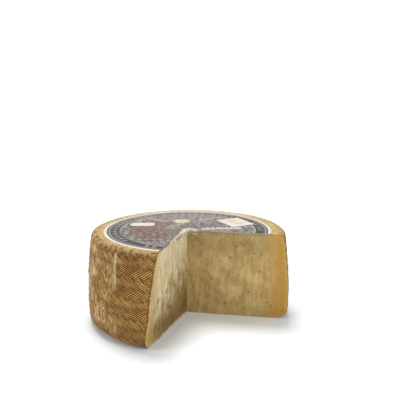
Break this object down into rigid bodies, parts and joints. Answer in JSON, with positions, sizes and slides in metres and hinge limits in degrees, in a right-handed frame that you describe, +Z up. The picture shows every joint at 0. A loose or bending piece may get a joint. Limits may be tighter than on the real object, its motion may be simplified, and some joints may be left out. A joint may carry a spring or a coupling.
{
  "type": "cheese wheel",
  "caption": "Wheel of hard cheese with a plaited print on its rind, a deep notch cut into it and a round paper label on its top face.",
  "frame": {"origin": "middle of the wheel's footprint, on the face it stands on", "axes": "+Z up through the wheel, -Y towards the notch, +X to the right when looking into the notch"},
  "size_m": [0.2059, 0.2001, 0.0913],
  "materials": {
    "cheese": "waxy rind with a plaited print, cream paste on the cut faces",
    "label": "printed, semi-matte",
    "sticker": "blank, semi-matte"
  },
  "bodies": {
    "root": {"cheese": "cheese", "label": "label", "square_sticker": "sticker", "strip_sticker": "sticker"}
  },
  "joints": []
}
